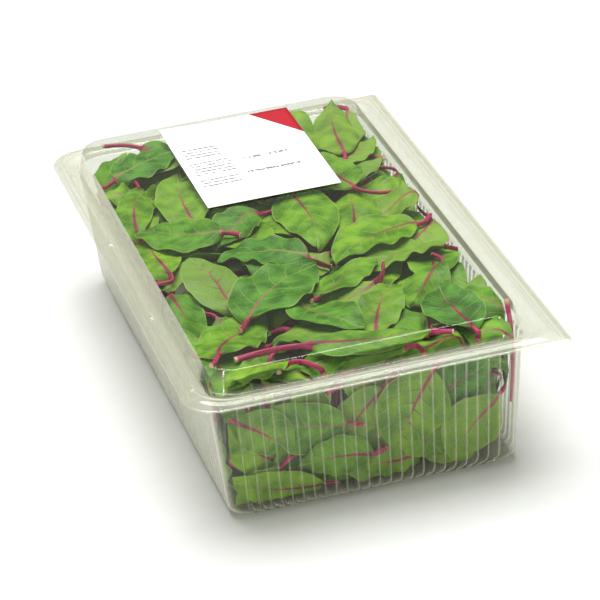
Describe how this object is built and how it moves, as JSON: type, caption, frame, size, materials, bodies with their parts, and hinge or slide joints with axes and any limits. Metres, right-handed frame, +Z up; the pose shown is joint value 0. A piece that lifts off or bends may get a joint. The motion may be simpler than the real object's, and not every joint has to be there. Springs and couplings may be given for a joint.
{
  "type": "hinged clear pack of red chard leaves",
  "caption": "Long clear ribbed tray with a hinged raised lid and a plain paper label, filled with loose baby red chard leaves on crimson stems.",
  "frame": {"origin": "middle of the underside, on the surface the pack stands on", "axes": "+X towards the hinge side, +Y along the length away from the end that faces the viewer, +Z up"},
  "size_m": [0.209, 0.36, 0.0926],
  "materials": {
    "clear_plastic": "clear thermoformed sheet with a faint grey-green tint",
    "label_paper": "smooth white coated label paper",
    "chard_leaf": "fresh baby chard leaf, satin green with crimson stem and midrib"
  },
  "bodies": {
    "tray": {"tray": "clear_plastic", "leaf_back_01": "chard_leaf", "leaf_back_02": "chard_leaf", "leaf_back_03": "chard_leaf", "leaf_back_04": "chard_leaf", "leaf_floor_01": "chard_leaf", "leaf_floor_02": "chard_leaf", "leaf_front_01": "chard_leaf", "leaf_front_02": "chard_leaf", "leaf_front_03": "chard_leaf", "leaf_front_04": "chard_leaf", "leaf_front_05": "chard_leaf", "leaf_front_06": "chard_leaf", "leaf_front_07": "chard_leaf", "leaf_front_08": "chard_leaf", "leaf_front_09": "chard_leaf", "leaf_front_10": "chard_leaf", "leaf_front_11": "chard_leaf", "leaf_hinge_side_01": "chard_leaf", "leaf_hinge_side_02": "chard_leaf", "leaf_hinge_side_03": "chard_leaf", "leaf_hinge_side_04": "chard_leaf", "leaf_hinge_side_05": "chard_leaf", "leaf_hinge_side_06": "chard_leaf", "leaf_open_side_01": "chard_leaf", "leaf_open_side_02": "chard_leaf", "leaf_open_side_03": "chard_leaf", "leaf_open_side_04": "chard_leaf", "leaf_open_side_05": "chard_leaf", "leaf_open_side_06": "chard_leaf", "leaf_top_01": "chard_leaf", "leaf_top_02": "chard_leaf", "leaf_top_03": "chard_leaf", "leaf_top_04": "chard_leaf", "leaf_top_05": "chard_leaf", "leaf_top_06": "chard_leaf", "leaf_top_07": "chard_leaf", "leaf_top_08": "chard_leaf", "leaf_top_09": "chard_leaf", "leaf_top_10": "chard_leaf", "leaf_top_11": "chard_leaf", "leaf_top_12": "chard_leaf", "leaf_top_13": "chard_leaf", "leaf_top_14": "chard_leaf", "leaf_top_15": "chard_leaf", "leaf_top_16": "chard_leaf", "leaf_top_17": "chard_leaf", "leaf_top_18": "chard_leaf", "leaf_top_19": "chard_leaf", "leaf_top_20": "chard_leaf", "leaf_top_21": "chard_leaf", "leaf_top_22": "chard_leaf", "leaf_top_23": "chard_leaf", "leaf_top_24": "chard_leaf", "leaf_top_25": "chard_leaf", "leaf_top_26": "chard_leaf", "leaf_top_27": "chard_leaf", "leaf_top_28": "chard_leaf"},
    "lid": {"lid": "clear_plastic", "label": "label_paper"}
  },
  "joints": [
    {"name": "lid_hinge", "type": "hinge", "parent": "tray", "child": "lid", "pos_m": [0.1051, 0, 0.07865], "axis": [0, 1, 0], "range_deg": [0, 180]}
  ]
}
